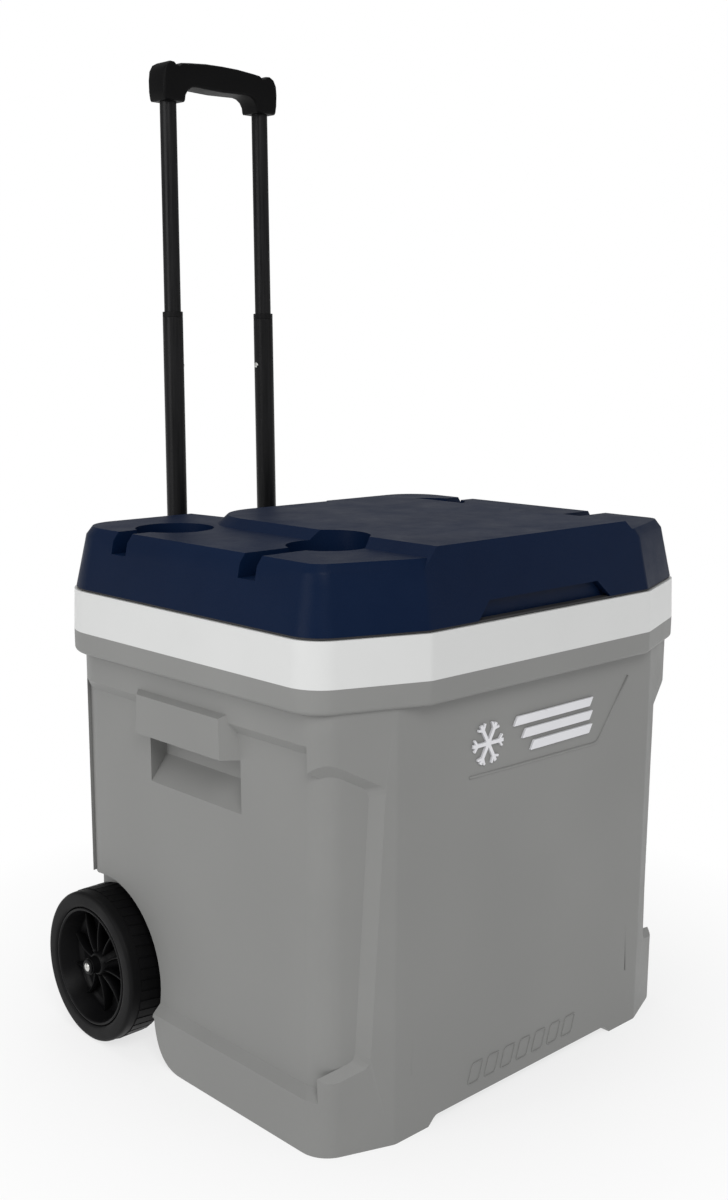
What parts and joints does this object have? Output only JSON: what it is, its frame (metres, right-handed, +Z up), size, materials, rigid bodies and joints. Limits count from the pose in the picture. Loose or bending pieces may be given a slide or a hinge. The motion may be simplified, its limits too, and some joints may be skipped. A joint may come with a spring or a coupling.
{
  "type": "wheeled cooler",
  "caption": "Insulated hard cooler with a hinged lid, side grab handles, a telescoping pull handle and rear wheels.",
  "frame": {"origin": "centre of the footprint of the whole cooler, on the ground", "axes": "+X to the right seen from the front, +Y to the rear, where the wheels and the pull handle are, +Z up along the tallest extent"},
  "size_m": [0.5178, 0.5017, 0.988],
  "materials": {
    "grey_shell": "fine moulded texture, satin grey",
    "white_liner": "smooth white, soft gloss",
    "navy_lid": "fine moulded texture, satin navy",
    "foam": "closed-cell insulating foam",
    "seal_rubber": "soft matt seal",
    "silver_badge": "satin silver",
    "black_plastic": "textured black",
    "grip_rubber": "matt soft-touch",
    "tyre_rubber": "hard black tread",
    "black_tube": "black anodised, satin",
    "bright_steel": "bright zinc",
    "white_drain": "smooth white"
  },
  "bodies": {
    "root": {"axle_cap_left": "bright_steel", "axle_cap_right": "bright_steel", "axle_clip_left": "black_plastic", "axle_clip_right": "black_plastic", "axle_washer_left": "black_plastic", "axle_washer_right": "black_plastic", "bracket_screws": "bright_steel", "drain_nut": "white_drain", "drain_seal": "seal_rubber", "drain_spout": "white_drain", "fixed_tube_collar_left": "black_plastic", "fixed_tube_collar_right": "black_plastic", "front_badge": "silver_badge", "handle_bracket_lower": "black_plastic", "handle_bracket_upper": "black_plastic", "handle_tube_fixed_left": "black_tube", "handle_tube_fixed_right": "black_tube", "hinge_leaf_tub_left": "black_plastic", "hinge_leaf_tub_right": "black_plastic", "hinge_pin_left": "bright_steel", "hinge_pin_right": "bright_steel", "hinge_screws_tub": "bright_steel", "inner_liner": "white_liner", "outer_shell": "grey_shell", "tub_foam": "foam", "wheel_axle": "bright_steel"},
    "lid": {"lid_shell": "navy_lid", "lid_foam": "foam", "lid_liner": "white_liner", "lid_gasket": "seal_rubber", "hinge_leaf_lid_left": "black_plastic", "hinge_leaf_lid_right": "black_plastic", "hinge_screws_lid": "bright_steel"},
    "handle_mid": {"handle_tube_mid_left": "black_tube", "handle_tube_mid_right": "black_tube", "mid_tube_collar_left": "black_plastic", "mid_tube_collar_right": "black_plastic"},
    "handle_inner": {"handle_tube_inner_left": "black_tube", "handle_tube_inner_right": "black_tube", "grip_core": "black_plastic", "grip_cover": "grip_rubber", "grip_screws": "bright_steel"},
    "button_left": {"snap_button_left": "bright_steel"},
    "button_right": {"snap_button_right": "bright_steel"},
    "wheel_left": {"tyre_left": "tyre_rubber", "wheel_core_left": "black_plastic", "hub_bush_left": "black_plastic"},
    "wheel_right": {"tyre_right": "tyre_rubber", "wheel_core_right": "black_plastic", "hub_bush_right": "black_plastic"},
    "drain_cap": {"drain_cap": "white_drain"}
  },
  "joints": [
    {"name": "lid_hinge", "type": "hinge", "parent": "root", "child": "lid", "pos_m": [0, 0.1808, 0.445], "axis": [-1, 0, 0], "range_deg": [0, 65]},
    {"name": "handle_mid_slide", "type": "slide", "parent": "root", "child": "handle_mid", "axis": [0, 0.0262, 0.9997], "range_m": [-0.232, 0]},
    {"name": "handle_inner_slide", "type": "slide", "parent": "handle_mid", "child": "handle_inner", "axis": [0, 0.0262, 0.9997], "range_m": [-0.225, 0], "deforming": ["snap_button_left", "snap_button_right"]},
    {"name": "snap_button_left_press", "type": "slide", "parent": "handle_inner", "child": "button_left", "axis": [-1, 0, 0], "range_m": [0, 0.0035], "stiffness_N_per_m": 200},
    {"name": "snap_button_right_press", "type": "slide", "parent": "handle_inner", "child": "button_right", "axis": [1, 0, 0], "range_m": [0, 0.0035], "stiffness_N_per_m": 200},
    {"name": "wheel_left_spin", "type": "hinge", "parent": "root", "child": "wheel_left", "pos_m": [-0.2345, 0.1127, 0.0732], "axis": [1, 0, 0], "continuous": true},
    {"name": "wheel_right_spin", "type": "hinge", "parent": "root", "child": "wheel_right", "pos_m": [0.2345, 0.1127, 0.0732], "axis": [1, 0, 0], "continuous": true},
    {"name": "drain_cap_turn", "type": "hinge", "parent": "root", "child": "drain_cap", "pos_m": [0.245, -0.0907, 0.053], "axis": [1, 0, 0], "range_deg": [0, 540]}
  ]
}
